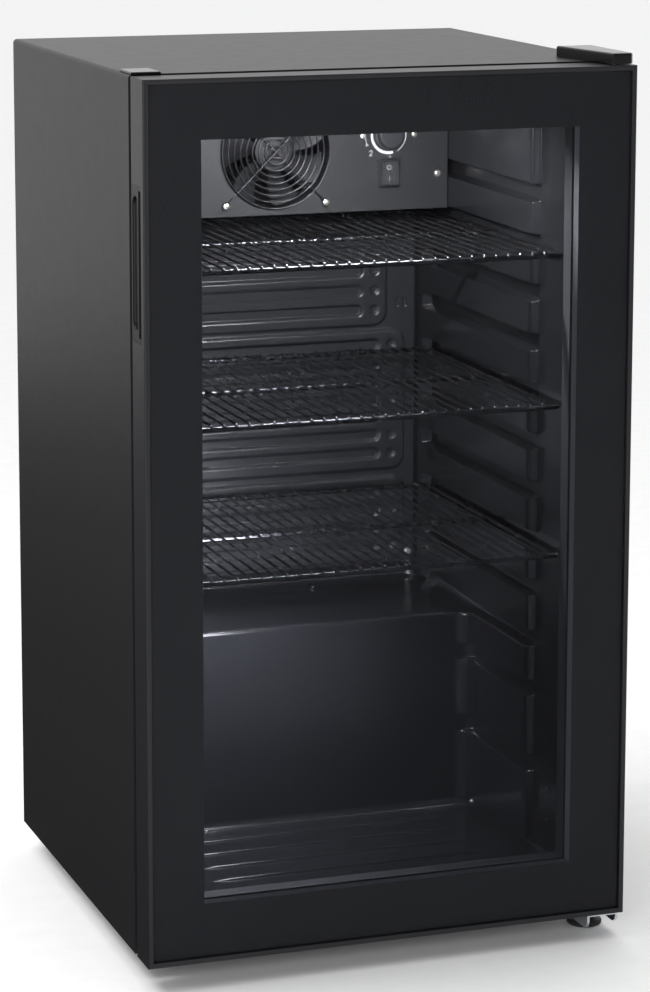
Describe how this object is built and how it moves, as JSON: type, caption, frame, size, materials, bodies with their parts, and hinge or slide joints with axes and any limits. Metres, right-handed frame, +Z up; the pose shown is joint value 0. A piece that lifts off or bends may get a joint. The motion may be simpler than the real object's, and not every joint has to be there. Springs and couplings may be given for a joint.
{
  "type": "mini fridge",
  "caption": "Compact glass-door fridge: insulated steel cabinet, framed glass door on pin hinges, sliding wire shelves, fan-forced cooling and a rear compressor bay.",
  "frame": {"origin": "on the floor, at the middle of the fridge's footprint with its door shut", "axes": "+Z up, -Y out through the door, +X to the hinge side"},
  "size_m": [0.474, 0.461, 0.85],
  "materials": {
    "cabinet_paint": "satin",
    "rear_paint": "matte",
    "galvanised": "satin",
    "foam": "matte",
    "liner_plastic": "satin",
    "copper": "satin",
    "evaporator_skin": "satin",
    "black_rubber": "matte",
    "nickel": "polished",
    "cover_plastic": "satin",
    "fan_plastic": "satin",
    "guard_wire": "polished",
    "knob_plastic": "satin",
    "switch_plastic": "gloss",
    "clear_plastic": "gloss",
    "white_plastic": "gloss",
    "lamp_cover": "satin",
    "shelf_wire": "polished",
    "door_frame": "satin",
    "door_block": "matte",
    "pane": "gloss",
    "printed_border": "gloss",
    "spacer_black": "satin",
    "gasket_rubber": "matte",
    "bush_plastic": "satin",
    "hinge_steel": "satin",
    "trim_plastic": "satin",
    "foot_plastic": "satin",
    "can_paint": "gloss"
  },
  "bodies": {
    "cabinet": {"outer_shell": "cabinet_paint", "back_panel": "rear_paint", "front_rail": "cabinet_paint", "base_pan": "galvanised", "foam_insulation": "foam", "inner_liner": "liner_plastic", "condenser_coil": "copper", "evaporator_plate": "evaporator_skin", "evaporator_standoffs": "black_rubber", "evaporator_screws": "nickel", "duct_cover": "cover_plastic", "cover_strips": "galvanised", "cover_screws": "nickel", "fan_frame": "fan_plastic", "fan_guard": "guard_wire", "fan_screws": "nickel", "thermostat_body": "galvanised", "thermostat_screws": "nickel", "switch_body": "switch_plastic", "switch_boot": "clear_plastic", "light_housing": "white_plastic", "light_diffuser": "lamp_cover", "top_hinge_plate": "hinge_steel", "hinge_backing_plate": "hinge_steel", "hinge_screws": "nickel", "top_hinge_cover": "trim_plastic", "hinge_hole_cap": "trim_plastic", "bottom_hinge_bracket": "hinge_steel", "panel_screws": "nickel", "foot_nut": "hinge_steel", "rear_feet": "foot_plastic", "compressor_plate": "galvanised", "compressor_grommets": "black_rubber", "compressor": "can_paint", "terminal_box": "switch_plastic", "drip_tray": "trim_plastic", "drain_tube": "white_plastic", "cooling_pipes": "copper", "cord_gland": "trim_plastic"},
    "door": {"door_stile_left": "door_frame", "door_stile_right": "door_frame", "door_rail_top": "door_frame", "door_rail_bottom": "door_frame", "corner_blocks": "door_block", "outer_glass": "pane", "glass_border": "printed_border", "glass_spacer": "spacer_black", "inner_glass": "pane", "door_inner_frame": "door_frame", "door_gasket": "gasket_rubber", "handle_insert": "trim_plastic", "hinge_bushes": "bush_plastic"},
    "fan_rotor": {"fan_blades": "fan_plastic"},
    "dial": {"thermostat_knob": "knob_plastic"},
    "rocker": {"switch_rocker": "switch_plastic"},
    "upper_shelf": {"shelf_top": "shelf_wire"},
    "centre_shelf": {"shelf_middle": "shelf_wire"},
    "lower_shelf": {"shelf_bottom": "shelf_wire"},
    "left_foot": {"front_foot_left": "foot_plastic"},
    "right_foot": {"front_foot_right": "foot_plastic"}
  },
  "joints": [
    {"name": "door_hinge", "type": "hinge", "parent": "cabinet", "child": "door", "pos_m": [0.222, -0.2105, 0.432], "axis": [0, 0, 1], "range_deg": [0, 120]},
    {"name": "upper_shelf_slide", "type": "slide", "parent": "cabinet", "child": "upper_shelf", "axis": [0, -1, 0], "range_m": [0, 0.101]},
    {"name": "centre_shelf_slide", "type": "slide", "parent": "cabinet", "child": "centre_shelf", "axis": [0, -1, 0], "range_m": [0, 0.101]},
    {"name": "lower_shelf_slide", "type": "slide", "parent": "cabinet", "child": "lower_shelf", "axis": [0, -1, 0], "range_m": [0, 0.101]},
    {"name": "fan_spin", "type": "hinge", "parent": "cabinet", "child": "fan_rotor", "pos_m": [-0.004, 0.115, 0.732], "axis": [0, -1, 0], "continuous": true},
    {"name": "dial_turn", "type": "hinge", "parent": "cabinet", "child": "dial", "pos_m": [0.116, 0.093, 0.7445], "axis": [0, 1, 0], "range_deg": [0, 270]},
    {"name": "rocker_tilt", "type": "hinge", "parent": "cabinet", "child": "rocker", "pos_m": [0.116, 0.0995, 0.707], "axis": [1, 0, 0], "range_deg": [0, 12]},
    {"name": "left_foot_turn", "type": "hinge", "parent": "cabinet", "child": "left_foot", "pos_m": [-0.195, -0.142, 0.01], "axis": [0, 0, 1], "continuous": true},
    {"name": "right_foot_turn", "type": "hinge", "parent": "cabinet", "child": "right_foot", "pos_m": [0.219, -0.179, 0.01], "axis": [0, 0, 1], "continuous": true}
  ],
  "couplings": [
    {"joint": "upper_shelf_slide", "follows": "door_hinge", "m_per_rad": 0.048},
    {"joint": "centre_shelf_slide", "follows": "door_hinge", "m_per_rad": 0.048},
    {"joint": "lower_shelf_slide", "follows": "door_hinge", "m_per_rad": 0.048}
  ]
}
